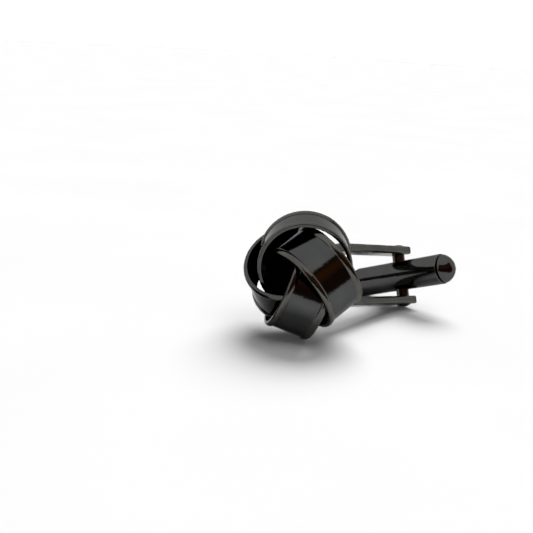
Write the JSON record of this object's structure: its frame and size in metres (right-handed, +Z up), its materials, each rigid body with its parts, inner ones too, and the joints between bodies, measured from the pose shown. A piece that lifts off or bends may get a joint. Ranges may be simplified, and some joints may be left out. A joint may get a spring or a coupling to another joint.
{
  "type": "cufflink",
  "caption": "Knot cufflink of interlinked rimmed ring bands in polished black plate, with a riveted fork and a swivelling barrel toggle back that turns in line with the post to pass a buttonhole.",
  "frame": {"origin": "on the surface the link lies on, below the middle of its bounding box", "axes": "+Z up, the knot's front faces -Y and is tipped up a little, the barrel back is toward +Y and its near end toward +X"},
  "size_m": [0.0148, 0.0272, 0.0141],
  "materials": {
    "knot_plate": "polished black plate over brass",
    "fork_plate": "polished black plate over brass",
    "barrel_plate": "polished black plate over brass",
    "spring_steel": "plain rolled strip"
  },
  "bodies": {
    "link": {"knot_band_left": "knot_plate", "knot_band_top": "knot_plate", "knot_band_right": "knot_plate", "knot_band_bottom": "knot_plate", "fork": "fork_plate", "pivot_pin": "fork_plate"},
    "barrel": {"barrel_tube": "barrel_plate", "barrel_cap_near": "barrel_plate", "barrel_cap_far": "barrel_plate", "detent_spring_front": "spring_steel", "detent_spring_back": "spring_steel"}
  },
  "joints": [
    {"name": "barrel_swivel", "type": "hinge", "parent": "link", "child": "barrel", "pos_m": [0, 0.01134, 0.00397], "axis": [-0.3592, 0.154, 0.9205], "continuous": true}
  ]
}
